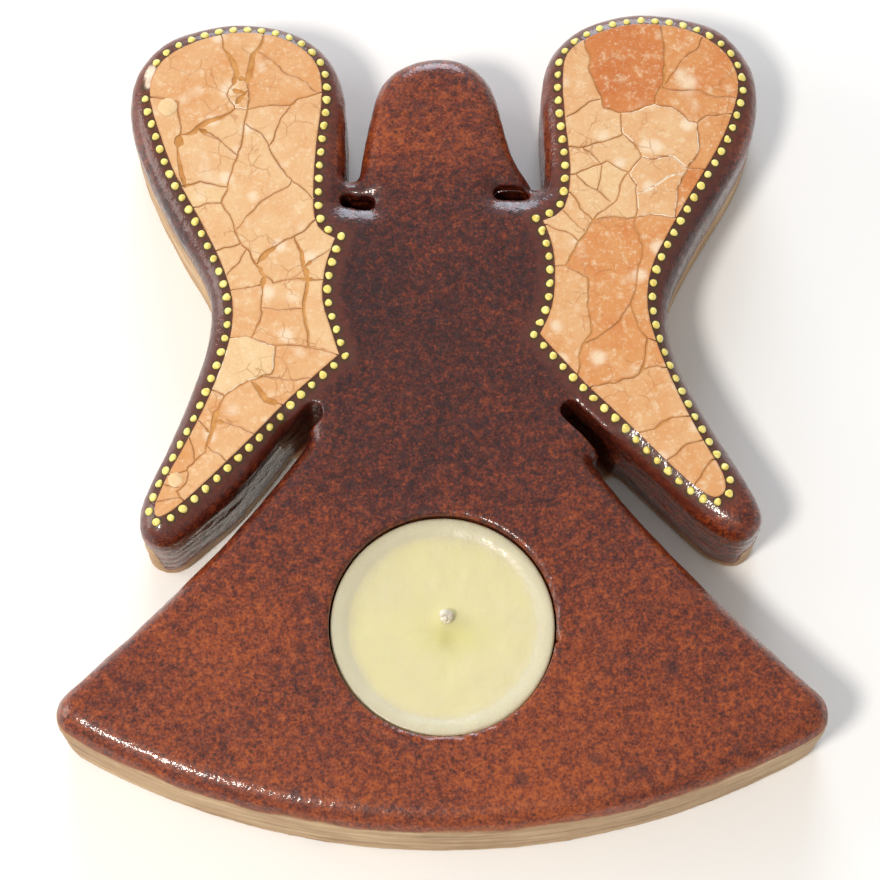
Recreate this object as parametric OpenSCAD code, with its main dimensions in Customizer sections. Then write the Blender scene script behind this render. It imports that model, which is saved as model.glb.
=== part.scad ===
// Clay angel candle holder: one slab of fired clay lying flat, wings inlaid with
// pieces of shell, a row of paint dots round each inlay, and a round candle in the
// skirt. Millimetres. +Z is up through the slab, +Y points to the head, and the
// origin is under the middle of the slab, on the surface that it lies on.

/* [Slab] */
// Thickness of the clay slab
slab_t = 20; // [18:0.5:24]
// Radius of the rolled upper edge
edge_r = 4.5; // [3:0.25:6]
// Steps that the rolled edge is built from
edge_steps = 5; // [4:1:8]
// Height of the eased lower edge
foot_h = 1; // [0.5:0.25:2]
// How far the lower edge is eased inwards
foot_inset = 0.6; // [0.25:0.05:1]
// Radius that softens the inner corners between wings, head and skirt
notch_r = 1; // [0.5:0.1:1.5]

/* [Skirt] */
// Radius of the hem's arc
hem_r = 129; // [120:1:140]
// Distance from the middle of the slab to the lowest point of the hem
hem_y = 75.4; // [74:0.2:77]
// Radius of the skirt's two corners
hem_corner_r = 5; // [3:0.5:7]

/* [Hair] */
// Width of the pressed cut under each tip of the hair
cut_w = 1.7; // [1:0.1:2.5]
// Depth of the pressed cut
cut_depth = 6; // [3:0.5:9]

/* [Notches] */
// Width of the groove that carries on past the end of each wing's notch
groove_w = 2.6; // [2:0.1:3.5]
// Depth of that groove
groove_depth = 10; // [6:0.5:14]

/* [Candle] */
// Diameter of the candle
candle_d = 38; // [36:0.5:39]
// Height of the candle's wax
candle_h = 15; // [12:0.5:16]
// Gap between the candle and its socket, each side
socket_gap = 0.35; // [0.3:0.05:0.6]
// Thickness of clay under the socket
socket_floor = 3; // [2:0.25:5]
// How far the wax creeps up at its rim
meniscus_h = 0.6; // [0.3:0.1:1]
// Diameter of the wick
wick_d = 2.3; // [1.5:0.1:3]
// Height of the wick above the wax
wick_out = 2.6; // [2:0.2:6]
// Diameter of the wick's metal foot
tab_d = 13; // [10:0.5:16]
// Thickness of the wick's metal foot
tab_t = 0.3; // [0.2:0.05:0.5]

/* [Inlay] */
// Thickness of the shell
shell_t = 0.6; // [0.4:0.05:0.8]
// Depth of the recess that the shell lies in
recess = 0.4; // [0.2:0.05:0.6]
// Width of the joint between two pieces of shell
joint_w = 0.3; // [0.2:0.05:0.5]
// Distance from the line of dots to the edge of the shell
shell_inset = 0.95; // [0.8:0.05:1.4]

/* [Dots] */
// Diameter of a paint dot
dot_d = 1.45; // [1.2:0.05:1.7]
// Height of a paint dot
dot_h = 0.5; // [0.3:0.05:0.7]
// Distance from one dot to the next
dot_pitch = 2.6; // [2.3:0.05:3]

/* [Hidden] */
$fn = 48;

curve_steps = 3;
eps = 0.01;
candle_at = [-0.3, -40.2];
wick_at = candle_at + [0.8, 1.6];
candle_r = candle_d / 2;
socket_r = candle_r + socket_gap;
wax_top = socket_floor + candle_h;

// Outlines of the slab's parts at its widest, clockwise from the top of each.
// The left wing is given as its mirror image, so both read outwards in +X.
right_wing_edge = [[36, 75.4], [44.5, 74.5], [52.2, 71.2], [56.8, 64], [57.6, 56.5], [55.2, 47.5],
    [50.2, 38.5], [44.8, 29.5], [40.8, 21], [39.8, 14], [41.6, 6], [45.6, -2.5], [50, -10.3],
    [53.7, -17], [54.9, -21.8], [51.8, -25.3], [46.7, -24], [41, -18.8], [35, -12.7],
    [30.8, -8.7], [28.2, -9.4], [22, -9], [12, 14], [12, 34], [17.9, 40.2], [18.4, 50], [18.2, 58],
    [19.3, 65.2], [22.8, 70.4], [28.4, 73.8]];
left_wing_edge = [[36, 73.9], [43.5, 73], [50.9, 69.7], [55.5, 63.2], [56.2, 56], [54.6, 48.5],
    [51.4, 40.6], [46.8, 31.6], [42.2, 23.5], [40.8, 16.5], [41.8, 9], [44.2, 1.5], [47.2, -6.3],
    [50.6, -13.8], [52.4, -20], [51.2, -24.7], [46.9, -25.8], [42.2, -22.5], [35.5, -16],
    [29, -7.5], [26.6, -4.2], [24.6, -5.6], [18, -4], [12, 14], [12, 34], [16.8, 39],
    [16.8, 45], [16.9, 52], [17.2, 59], [19, 65.2], [22.6, 69.6], [28.3, 72.7]];
head_edge = [[0, 66.7], [4.8, 65.8], [8.4, 62.5], [10.4, 58.1], [11.8, 52], [13.4, 46.4],
    [16, 41.6], [17.2, 37], [10, 34], [-10, 34], [-18, 36.5], [-16.7, 39.8],
    [-15, 43], [-14.3, 46.5], [-13.8, 50], [-13, 54], [-11.9, 59], [-9.6, 63.2], [-5.2, 65.9]];

// The side of the skirt runs from the waist to the end of the hem and is pulled in towards
// the hip. Above the waist the skirt carries on behind the body, up to the neck.
waist = [21, -3.2];
hip = [32.5, -23.3];
hem_end = [70, -57.5];
neck_half_w = 18;
neck_y = 40;
below_hem = -140;
// How far the skirt is turned, in degrees
skirt_turn = -0.4;

// Where head, wings and skirt meet. Only these corners are softened.
inner_corners = [[-16.2, 41], [16.4, 41], [-26.6, -5.5], [30, -10.5]];

// Ends of the cuts pressed under the tips of the hair, and of the grooves past the notches
left_hair_cut = [[-16.8, 37.9], [-12.9, 37.4]];
right_hair_cut = [[10.5, 39.2], [14.5, 39]];
left_groove = [[-22.6, -2.2], [-27, -6.6]];
right_groove = [[22, -2.2], [31, -11]];

// The line of dots: out from the shoulder round the wing to the elbow, and back along
// the body. The elbow and the shoulder are corners.
right_dots_out = [[16.8, 33.6], [21, 36], [22.2, 43], [21.6, 51.5], [21.2, 60], [22.2, 66.2],
    [26.5, 69.9], [33, 72.3], [40, 72.5], [47, 70.6], [52.6, 66], [54.6, 60], [53.2, 53.5],
    [50.2, 46.5], [45.8, 39], [41, 30.5], [37.7, 23.5], [36.9, 16.5], [38.6, 9], [41.8, 0.4],
    [45.3, -7.2], [48.7, -13.7], [48.9, -17.6], [46.3, -19.2], [42.7, -17.2], [37.4, -12],
    [30.5, -4.6], [23.7, 2.4], [16, 11.6]];
right_dots_back = [[16, 11.6], [18.4, 17], [19.1, 24], [18.4, 29.5], [16.8, 33.6]];
left_dots_out = [[17.7, 30.4], [21, 32.8], [21.8, 38], [21.4, 47.5], [20.5, 56], [20.8, 62.5],
    [23.5, 67.2], [28.8, 70.4], [35.5, 71.4], [42.2, 70.4], [49, 67.2], [52.6, 62.5], [53, 57],
    [50.8, 49.5], [48, 42], [43.7, 33.8], [39.6, 25.2], [37.5, 18], [38, 10.5], [41, 1.3],
    [44.5, -6.6], [48.3, -14.2], [50.2, -19.8], [48.8, -22], [45.5, -20.6], [39.8, -15.3],
    [33.1, -8.4], [25.3, 0], [16.9, 7.9]];
left_dots_back = [[16.9, 7.9], [18.5, 13], [20, 18.5], [19.7, 23.5], [18.7, 27.5], [17.7, 30.4]];

// The pieces of shell: each name with the break lines round it. Corners that lie
// outside the inlay only say where a piece runs out to its edge.
left_shell = [
    ["crown_outer", [[40.5, 76], [39.6, 70], [37.7, 65.5], [37.2, 62], [38.7, 58], [37.3, 55.5],
        [40, 53.3], [43.5, 51.6], [47, 50.2], [47.4, 57.1], [58, 58.5], [58, 76]]],
    ["crown_middle", [[40.5, 76], [39.6, 70], [37.7, 65.5], [37.2, 62], [35.2, 61], [32.2, 67],
        [31.5, 76]]],
    ["crown_inner", [[31.5, 76], [32.2, 67], [35.2, 61], [34.6, 55.3], [32.1, 55.5], [27, 56.2],
        [21.6, 58.4], [14, 59], [14, 76]]],
    ["star", [[37.2, 62], [38.7, 58], [37.3, 55.5], [34.6, 55.3], [35.2, 61]]],
    ["rim_upper", [[60, 58.5], [47.4, 57.1], [47, 50.2], [46.2, 42.4], [45.5, 40.2], [60, 40.2]]],
    ["rim_middle", [[60, 40.2], [45.5, 40.2], [37.9, 40.4], [38.5, 37], [43.1, 36.1], [60, 36]]],
    ["rim_lower", [[60, 36], [43.1, 36.1], [38.5, 37], [36.5, 33], [35.5, 29.3], [39, 27.9],
        [60, 22]]],
    ["field_outer", [[47, 50.2], [43.5, 51.6], [40, 53.3], [37.3, 55.5], [34.6, 55.3],
        [35.8, 48.1], [37.9, 40.4], [45.5, 40.2], [46.2, 42.4]]],
    ["field_inner", [[34.6, 55.3], [32.1, 55.5], [27, 56.2], [21.6, 58.4], [14, 59], [14, 34],
        [22.3, 33.5], [25.4, 30.7], [29.8, 27.8], [32.4, 25.5], [35.5, 29.3], [36.5, 33],
        [38.5, 37], [37.9, 40.4], [35.8, 48.1]]],
    ["waist_outer", [[60, 22], [39, 27.9], [35.5, 29.3], [32.4, 25.5], [31, 23.1], [31.4, 21],
        [36.7, 20.3], [60, 19]]],
    ["waist_middle", [[32.4, 25.5], [29.8, 27.8], [25.4, 30.7], [24.8, 25.9], [24, 21.8],
        [29.2, 21.4], [31, 23.1]]],
    ["shoulder", [[25.4, 30.7], [22.3, 33.5], [14, 34], [14, 22], [20.9, 22.1], [24, 21.8],
        [24.8, 25.9]]],
    ["hip_inner", [[24, 21.8], [20.9, 22.1], [14, 22], [14, 6], [18, 8], [23.4, 9.9],
        [24.1, 16.4]]],
    ["hip_middle", [[31.4, 21], [31, 23.1], [29.2, 21.4], [24, 21.8], [24.1, 16.4], [23.4, 9.9],
        [29.1, 10.4], [32.6, 11.1], [31.8, 16]]],
    ["hip_outer", [[60, 19], [36.7, 20.3], [31.4, 21], [31.8, 16], [32.6, 11.1], [37.4, 11.4],
        [60, 12]]],
    ["patch", [[60, 12], [37.4, 11.4], [32.6, 11.1], [29.1, 10.4], [30.1, 4.4], [33.3, 2.6],
        [37.6, 0.8], [39.8, 1.7], [60, 2]]],
    ["elbow", [[29.1, 10.4], [23.4, 9.9], [18, 8], [14, 6], [24, -3], [28.1, -0.9], [30.7, -0.6],
        [33.3, 2.6], [30.1, 4.4]]],
    ["tail_inner", [[33.3, 2.6], [30.7, -0.6], [28.1, -0.9], [24, -3], [40, -22], [46, -16.8],
        [44.1, -15.5], [44.2, -13.7], [40.4, -9.2], [38.4, -2.4], [37.6, 0.8]]],
    ["tail_outer", [[39.8, 1.7], [37.6, 0.8], [38.4, -2.4], [40.4, -9.2], [44.2, -13.7],
        [46.7, -13.7], [60, -12], [60, 2]]],
    ["tip", [[46.7, -13.7], [44.2, -13.7], [44.1, -15.5], [46, -16.8], [40, -22], [46, -28],
        [60, -28], [60, -12]]]];
right_shell = [
    ["crown_inner", [[26.3, 76], [26.3, 67.1], [26.8, 63.1], [28.3, 58.6], [29.8, 54.6],
        [33.1, 54.3], [39.2, 55.5], [40.5, 64], [40, 76]]],
    ["crown_outer", [[40, 76], [40.5, 64], [39.2, 55.5], [42.1, 54.7], [44.3, 52.5],
        [46.5, 51.5], [51, 53.5], [60, 55], [60, 76]]],
    ["rim_upper", [[60, 55], [51, 53.5], [46.5, 51.5], [45.4, 45.6], [44.6, 43], [60, 42]]],
    ["rim_lower", [[60, 42], [44.6, 43], [42, 38.4], [41.4, 33.5], [60, 33]]],
    ["field_top", [[33.1, 54.3], [39.2, 55.5], [42.1, 54.7], [44.3, 52.5], [46.5, 51.5],
        [45.4, 45.6], [44.6, 43], [40, 45.2], [35.5, 45.7], [32.8, 49.6]]],
    ["field_edge", [[12, 76], [26.3, 76], [26.3, 67.1], [26.8, 63.1], [28.3, 58.6], [29.8, 54.6],
        [33.1, 54.3], [32.8, 49.6], [26, 47.5], [12, 47]]],
    ["field_outer", [[44.6, 43], [40, 45.2], [35.5, 45.7], [33.2, 41.3], [35.1, 39.4],
        [34.5, 33.6], [41.4, 33.5], [42, 38.4]]],
    ["field_wedge", [[33.2, 41.3], [35.1, 39.4], [34.5, 33.6], [27.6, 32.7], [29.5, 35.1],
        [31.3, 37.5]]],
    ["field_middle", [[12, 47], [26, 47.5], [32.8, 49.6], [35.5, 45.7], [33.2, 41.3],
        [29.7, 43.8], [24, 42], [12, 41.5]]],
    ["field_lower", [[12, 41.5], [24, 42], [29.7, 43.8], [33.2, 41.3], [31.3, 37.5],
        [29.5, 35.1], [27.6, 32.7], [25.5, 35.1], [22.9, 38.5], [12, 38]]],
    ["shoulder", [[12, 38], [22.9, 38.5], [25.5, 35.1], [27.6, 32.7], [25.8, 30.3], [24, 28.4],
        [18.8, 32.3], [12, 33]]],
    ["shoulder_tip", [[12, 33], [18.8, 32.3], [24, 28.4], [21.7, 24.5], [12, 24]]],
    ["waist_middle", [[27.6, 32.7], [34.5, 33.6], [35.4, 26.4], [33.5, 16], [34.1, 13.2],
        [35.8, 10.9], [35.2, 8.1], [33.4, 4.4], [30.3, 2.4], [26, 1.9], [22, 0], [26.2, 11.9],
        [25.9, 16.6], [25.4, 22], [21.7, 24.5], [24, 28.4], [25.8, 30.3]]],
    ["waist_inner", [[12, 24], [21.7, 24.5], [25.4, 22], [25.9, 16.6], [26.2, 11.9], [22, 0],
        [12, 0]]],
    ["waist_outer", [[34.5, 33.6], [41.4, 33.5], [60, 33], [60, 10], [38.5, 9.5], [35.8, 10.9],
        [34.1, 13.2], [33.5, 16], [35.4, 26.4]]],
    ["elbow", [[60, 10], [38.5, 9.5], [35.8, 10.9], [35.2, 8.1], [34.1, 5.3], [38.6, 5.3],
        [60, 5.5]]],
    ["tail_upper", [[60, 5.5], [38.6, 5.3], [34.1, 5.3], [33.4, 4.4], [30.3, 2.4], [26, 1.9],
        [22, 0], [30, -8], [33, -6.6], [36.5, -6.4], [40, -3.9], [60, -2]]],
    ["tail_middle", [[60, -2], [40, -3.9], [36.5, -6.4], [33, -6.6], [30, -8], [34, -14],
        [38.5, -11.6], [40.7, -9.8], [44.6, -8], [60, -7]]],
    ["tail_lower", [[60, -7], [44.6, -8], [40.7, -9.8], [38.5, -11.6], [34, -14], [38, -21],
        [43, -16.1], [44.4, -13.9], [46.2, -11.6], [60, -11]]],
    ["tip", [[60, -11], [46.2, -11.6], [44.4, -13.9], [43, -16.1], [38, -21], [46, -26],
        [60, -26]]]];

// A point on the smooth curve through b and c, at fraction t of the way from b to c.
function curve_point(a, b, c, d, t) =
    0.5 * (2 * b + (c - a) * t + (2 * a - 5 * b + 4 * c - d) * t * t
        + (3 * b - a - 3 * c + d) * t * t * t);

// A smooth closed curve through the points.
function closed_curve(pts) = let (n = len(pts))
    [for (i = [0 : n - 1], s = [0 : curve_steps - 1])
        curve_point(pts[(i + n - 1) % n], pts[i], pts[(i + 1) % n], pts[(i + 2) % n],
            s / curve_steps)];

// A smooth open curve through the points, without its last point.
function open_curve(pts) = let (n = len(pts))
    [for (i = [0 : n - 2], s = [0 : curve_steps - 1])
        curve_point(pts[max(i - 1, 0)], pts[i], pts[i + 1], pts[min(i + 2, n - 1)],
            s / curve_steps)];

// Distance along a line of points from its start to point i.
function run_to(line, i) = i == 0 ? 0 : norm(line[i] - line[i - 1]) + run_to(line, i - 1);

// The point at distance s along a line of points, looked for from point i on.
function point_at(line, s, i = 0) = let (step = norm(line[i + 1] - line[i]))
    s <= step || i == len(line) - 2 ? line[i] + (line[i + 1] - line[i]) * min(s / step, 1)
        : point_at(line, s - step, i + 1);

// Points evenly spaced along a smooth open curve, from its start to just short of its end.
function spaced(pts, pitch) = let (
    line = concat(open_curve(pts), [pts[len(pts) - 1]]),
    total = run_to(line, len(line) - 1),
    count = round(total / pitch))
    [for (k = [0 : count - 1]) point_at(line, total * k / count)];

// A curve from a to c that is pulled towards b.
function bent_line(a, b, c, n) = [for (i = [0 : n]) let (t = i / n)
    a * (1 - t) * (1 - t) + b * 2 * t * (1 - t) + c * t * t];

module skirt_outline() {
    side = bent_line(waist, hip, hem_end, 8);
    offset(r = hem_corner_r, $fn = 32) offset(delta = -hem_corner_r) intersection() {
        translate([0, hem_r - hem_y]) circle(r = hem_r, $fn = 120);
        polygon(concat([[0, neck_y], [neck_half_w, neck_y]], side, [[0, below_hem]],
            [for (i = [len(side) - 1 : -1 : 0]) [-side[i].x, side[i].y]], [[-neck_half_w, neck_y]]));
    }
}

module joined_outlines() {
    rotate(skirt_turn) skirt_outline();
    polygon(closed_curve(head_edge));
    polygon(closed_curve(right_wing_edge));
    mirror([1, 0]) polygon(closed_curve(left_wing_edge));
}

// The whole slab seen from above, at its widest, with its four inner corners softened.
module slab_outline() {
    joined_outlines();
    intersection() {
        offset(r = -notch_r, $fn = 20) offset(r = notch_r, $fn = 20) joined_outlines();
        for (p = inner_corners) translate(p) circle(r = 4 * notch_r, $fn = 8);
    }
}

// A layer of the slab from z_low to z_high, pulled in from its widest outline.
module layer(inset, z_low, z_high) {
    translate([0, 0, z_low]) linear_extrude(z_high - z_low) offset(delta = -inset) slab_outline();
}

// The rolled edge is a stack of steps. Each starts well inside the slab, at a height of its
// own, so that all of them are one solid and no two faces lie in the same plane.
module rolled_slab() {
    wall_top = slab_t - edge_r;
    inside = slab_t / 2;
    layer(foot_inset, 0, inside);
    layer(0, foot_h, wall_top);
    for (i = [0 : edge_steps - 1]) {
        pulled_in = edge_r * (1 - cos(90 * (i + 0.5) / edge_steps));
        layer(pulled_in, inside - i, wall_top + edge_r * sin(90 * (i + 1) / edge_steps));
    }
}

// A blind cut in the top of the slab, with round ends at two points.
module top_cut(ends, width, depth) {
    translate([0, 0, slab_t - depth]) linear_extrude(depth + eps) hull()
        for (p = ends) translate(p) circle(d = width, $fn = 24);
}

module wing_inlay(dots_out, dots_back) {
    offset(delta = -shell_inset) polygon(concat(open_curve(dots_out), open_curve(dots_back)));
}

module left_inlay() {
    wing_inlay(left_dots_out, left_dots_back);
}

module right_inlay() {
    wing_inlay(right_dots_out, right_dots_back);
}

module recess_cut() {
    translate([0, 0, slab_t - recess]) linear_extrude(recess + eps) children();
}

module clay_slab() {
    color("saddlebrown") difference() {
        rolled_slab();
        translate([candle_at.x, candle_at.y, socket_floor]) cylinder(r = socket_r, h = slab_t);
        top_cut(left_hair_cut, cut_w, cut_depth);
        top_cut(right_hair_cut, cut_w, cut_depth);
        top_cut(left_groove, groove_w, groove_depth);
        top_cut(right_groove, groove_w, groove_depth);
        recess_cut() right_inlay();
        recess_cut() mirror([1, 0]) left_inlay();
    }
}

// One piece of shell, cut out of a wing's inlay and lying in its recess.
module shell_piece(breaks) {
    color("burlywood") translate([0, 0, slab_t - recess]) linear_extrude(shell_t)
        intersection() {
            children();
            offset(delta = -joint_w / 2) polygon(breaks);
        }
}

module left_shell_piece(breaks) {
    mirror([1, 0, 0]) shell_piece(breaks) left_inlay();
}

module right_shell_piece(breaks) {
    shell_piece(breaks) right_inlay();
}

// A row of domed dots of paint, each sunk a little into the clay's rolled edge.
module dot_row(dots_out, dots_back) {
    sink = 0.3;
    for (p = concat(spaced(dots_out, dot_pitch), spaced(dots_back, dot_pitch)))
        translate([p.x, p.y, slab_t - sink]) {
            cylinder(d = dot_d, h = sink + eps, $fn = 16);
            translate([0, 0, sink]) cylinder(d1 = dot_d, d2 = dot_d * 0.5, h = dot_h, $fn = 16);
        }
}

module left_wing_dots() {
    color("khaki") mirror([1, 0, 0]) dot_row(left_dots_out, left_dots_back);
}

module right_wing_dots() {
    color("khaki") dot_row(right_dots_out, right_dots_back);
}

// The metal foot that holds the wick up while the wax is poured: a disc and a collar.
module foot_solid() {
    collar_wall = 0.5;
    collar_r = wick_d / 2 + collar_wall;
    collar_h = 3;
    translate([wick_at.x, wick_at.y, socket_floor]) {
        cylinder(d = tab_d, h = tab_t);
        cylinder(r = collar_r, h = collar_h);
    }
}

module wick_solid() {
    translate([wick_at.x, wick_at.y, socket_floor + tab_t])
        cylinder(d = wick_d, h = wax_top + wick_out - socket_floor - tab_t, $fn = 24);
}

module candle_wax() {
    bevel = 0.8;
    rim_w = 1;
    creep_w = 3;
    rim_h = candle_h + meniscus_h;
    color("lightgoldenrodyellow") difference() {
        translate([candle_at.x, candle_at.y, socket_floor]) rotate_extrude($fn = 96)
            polygon([[0, 0], [candle_r - bevel, 0], [candle_r, bevel], [candle_r, rim_h],
                [candle_r - rim_w, rim_h - meniscus_h / 4], [candle_r - creep_w, candle_h],
                [0, candle_h]]);
        foot_solid();
        wick_solid();
    }
}

module candle_wick() {
    color("ivory") wick_solid();
}

module wick_foot() {
    color("silver") difference() {
        foot_solid();
        wick_solid();
    }
}

clay_slab();
for (piece = left_shell)
    left_shell_piece(piece[1]);
for (piece = right_shell)
    right_shell_piece(piece[1]);
left_wing_dots();
right_wing_dots();
candle_wax();
candle_wick();
wick_foot();
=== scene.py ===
"""The looks of the clay angel candle holder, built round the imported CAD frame.

Lengths are in millimetres until a mesh is made, and MM turns them into metres.
"""

import math

import bpy
import numpy as np
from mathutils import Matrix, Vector, noise
from mathutils.bvhtree import BVHTree
from mathutils.geometry import delaunay_2d_cdt


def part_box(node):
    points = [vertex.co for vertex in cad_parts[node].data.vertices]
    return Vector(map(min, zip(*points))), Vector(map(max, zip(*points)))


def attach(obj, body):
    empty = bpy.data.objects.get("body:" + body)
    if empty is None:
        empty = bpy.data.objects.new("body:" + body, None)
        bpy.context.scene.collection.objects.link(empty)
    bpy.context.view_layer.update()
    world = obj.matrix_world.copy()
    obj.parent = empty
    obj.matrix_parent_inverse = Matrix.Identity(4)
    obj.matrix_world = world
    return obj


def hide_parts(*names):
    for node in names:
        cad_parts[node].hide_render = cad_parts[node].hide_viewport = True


MM = 0.001
noise.seed_set(11)      # noise_vector starts from the clock unless it is given a seed

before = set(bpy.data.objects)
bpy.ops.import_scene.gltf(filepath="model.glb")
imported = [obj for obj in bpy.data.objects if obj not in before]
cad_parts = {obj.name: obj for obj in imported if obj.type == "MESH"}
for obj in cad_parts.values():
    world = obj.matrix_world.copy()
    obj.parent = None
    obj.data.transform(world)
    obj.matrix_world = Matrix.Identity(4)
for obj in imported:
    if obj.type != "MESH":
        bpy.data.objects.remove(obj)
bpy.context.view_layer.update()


# ---------------------------------------------------------------- reading the frame

def box_mm(node):
    """Lowest and highest corner of a CAD node."""
    low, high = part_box(node)
    return np.array(low) / MM, np.array(high) / MM


def slice_at(node, level):
    """Line segments, (n, 2, 2), where a CAD node's mesh crosses a level."""
    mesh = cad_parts[node].data
    mesh.calc_loop_triangles()
    points = np.empty(len(mesh.vertices) * 3)
    mesh.vertices.foreach_get("co", points)
    points = points.reshape(-1, 3) / MM
    faces = np.empty(len(mesh.loop_triangles) * 3, int)
    mesh.loop_triangles.foreach_get("vertices", faces)
    corners = points[faces.reshape(-1, 3)]
    above = corners[:, :, 2] > level
    crossing = corners[above.any(1) & ~above.all(1)]
    ends = []
    for a, b in ((0, 1), (1, 2), (2, 0)):
        start, end = crossing[:, a], crossing[:, b]
        rise = end[:, 2] - start[:, 2]
        cut = (start[:, 2] > level) != (end[:, 2] > level)
        share = (level - start[:, 2]) / np.where(cut, rise, 1)
        ends.append(np.where(cut[:, None], start[:, :2] + share[:, None] * (end - start)[:, :2], np.nan))
    ends = np.stack(ends, 1)
    return ends[~np.isnan(ends[:, :, 0])].reshape(-1, 2, 2)


def loops_at(node, level):
    """The closed outlines of a CAD node at a level, each an array of points."""
    segments = slice_at(node, level)
    keys = [tuple(end) for end in np.round(segments.reshape(-1, 2), 3)]
    beside = {}
    for i in range(0, len(keys), 2):
        if keys[i] != keys[i + 1]:
            beside.setdefault(keys[i], []).append(keys[i + 1])
            beside.setdefault(keys[i + 1], []).append(keys[i])
    found = []
    while beside:
        here = next(iter(beside))
        loop = []
        while here in beside:
            loop.append(here)
            onward = [key for key in beside.pop(here) if key in beside]
            if onward:
                here = onward[0]
        found.append(np.array(loop))
    return found


# ---------------------------------------------------------------- making meshes

def new_piece(name, points, faces, material, body, replaced, attributes=None):
    """A mesh piece that rides on a body and stands for CAD nodes."""
    mesh = bpy.data.meshes.new(name)
    mesh.from_pydata((np.asarray(points) * MM).tolist(), [], [list(map(int, face)) for face in faces])
    mesh.polygons.foreach_set("use_smooth", [True] * len(mesh.polygons))
    for key, values in (attributes or {}).items():
        layer = mesh.attributes.new(key, "FLOAT", "POINT")
        layer.data.foreach_set("value", np.asarray(values, np.float32))
    mesh.materials.append(material)
    mesh.validate()
    piece = bpy.data.objects.new(name, mesh)
    bpy.context.scene.collection.objects.link(piece)
    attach(piece, body)
    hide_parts(*replaced)
    return piece


class Mesh:
    """Points, faces and per-point values, gathered part by part."""

    def __init__(self):
        self.points, self.faces, self.values, self.count = [], [], {}, 0

    def add(self, points, faces, **values):
        self.points.append(np.asarray(points, float))
        self.faces += [[int(i) + self.count for i in face] for face in faces]
        self.count += len(points)
        for key, value in values.items():
            self.values.setdefault(key, []).append(np.broadcast_to(value, len(points)))

    def piece(self, name, material, body, slot, replaced):
        values = {key: np.concatenate(parts) for key, parts in self.values.items()}
        return new_piece(name, np.concatenate(self.points), self.faces, material, body,
                         replaced, values)


def bridge(rings, size):
    """Quads between rings of points that were added one after another."""
    return [[r * size + i, r * size + (i + 1) % size, (r + 1) * size + (i + 1) % size, (r + 1) * size + i]
            for r in range(rings - 1) for i in range(size)]


def bridge_back(rings, size):
    """Quads from the last ring of a lathe back to its first."""
    last = (rings - 1) * size
    return [[last + i, last + (i + 1) % size, (i + 1) % size, i] for i in range(size)]


def lathe(profile, centre, steps, wobble=None):
    """A surface of revolution round a vertical axis. wobble(radius, height, angle) moves a point."""
    points = []
    for radius, height in profile:
        for i in range(steps):
            angle = 2 * math.pi * i / steps
            r, z = (radius, height) if wobble is None else wobble(radius, height, angle)
            points.append([centre[0] + r * math.cos(angle), centre[1] + r * math.sin(angle), z])
    faces = bridge(len(profile), steps)
    first, last = list(range(steps))[::-1], list(range(steps * (len(profile) - 1), steps * len(profile)))
    return points, faces + [first, last]


def noise_at(points, size, octaves=3, seed=0.0):
    """Smooth noise from about -1 to 1 at each point, with features of that size."""
    shift = Vector((seed * 17.3, seed * 5.9, seed * 11.1))
    return np.array([noise.fractal(Vector(p) / size + shift, 0.8, 2.0, octaves) for p in points])


def smoothstep(low, high, x):
    """0 at low and 1 at high, with a smooth rise between them and flat beyond them."""
    t = np.clip((x - low) / (high - low), 0, 1)
    return t * t * (3 - 2 * t)


# ---------------------------------------------------------------- distance fields

def distance_field(segments, x, y):
    """Signed distance from points to closed outlines, positive inside them."""
    nearest = np.full(x.shape, np.inf)
    inside = np.zeros(x.shape, bool)
    for (ax, ay), (bx, by) in segments:
        dx, dy = bx - ax, by - ay
        length = dx * dx + dy * dy
        if length < 1e-12:
            continue
        along = np.clip(((x - ax) * dx + (y - ay) * dy) / length, 0, 1)
        nearest = np.minimum(nearest, (x - ax - along * dx) ** 2 + (y - ay - along * dy) ** 2)
        if ay != by:
            inside ^= ((ay > y) != (by > y)) & (x < ax + (y - ay) / dy * dx)
    return np.sqrt(nearest) * np.where(inside, 1, -1)


def smooth_max(a, b, width):
    """The larger of two fields, blended where they differ by less than the width."""
    h = np.clip(0.5 + 0.5 * (a - b) / width, 0, 1)
    return b + (a - b) * h + width * h * (1 - h)


def surface_nets(field, origin, step):
    """Points and quads on the zero surface of a sampled field that is negative inside."""
    cells = tuple(n - 1 for n in field.shape)
    total, count = np.zeros(cells + (3,), np.float32), np.zeros(cells, np.int8)
    crossings = []
    for axis in range(3):
        b, c = (axis + 1) % 3, (axis + 2) % 3
        low = field.take(range(0, field.shape[axis] - 1), axis)
        high = field.take(range(1, field.shape[axis]), axis)
        crossing = (low < 0) != (high < 0)
        share = np.where(crossing, low / np.where(crossing, low - high, 1), 0)
        for db in (0, 1):
            for dc in (0, 1):
                part = [slice(None)] * 3
                part[b], part[c] = slice(db, cells[b] + db), slice(dc, cells[c] + dc)
                hit = crossing[tuple(part)]
                total[..., axis] += share[tuple(part)]
                total[..., b] += hit * db
                total[..., c] += hit * dc
                count += hit
        crossings.append((crossing, low < 0))
    index = np.full(cells, -1)
    used = count > 0
    index[used] = np.arange(used.sum())
    points = origin + step * (np.argwhere(used) + total[used] / count[used][:, None])
    quads = []
    for axis, (crossing, low_inside) in enumerate(crossings):
        b, c = (axis + 1) % 3, (axis + 2) % 3
        at = np.argwhere(crossing)
        at = at[(at[:, b] > 0) & (at[:, b] < cells[b]) & (at[:, c] > 0) & (at[:, c] < cells[c])]
        corners = []
        for db, dc in ((1, 1), (0, 1), (0, 0), (1, 0)):
            cell = at.copy()
            cell[:, b] -= db
            cell[:, c] -= dc
            corners.append(index[tuple(cell.T)])
        quad = np.stack(corners, 1)
        turned = ~low_inside[tuple(at.T)]
        quad[turned] = quad[turned, ::-1]
        quads.append(quad)
    return points, np.concatenate(quads)


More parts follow.
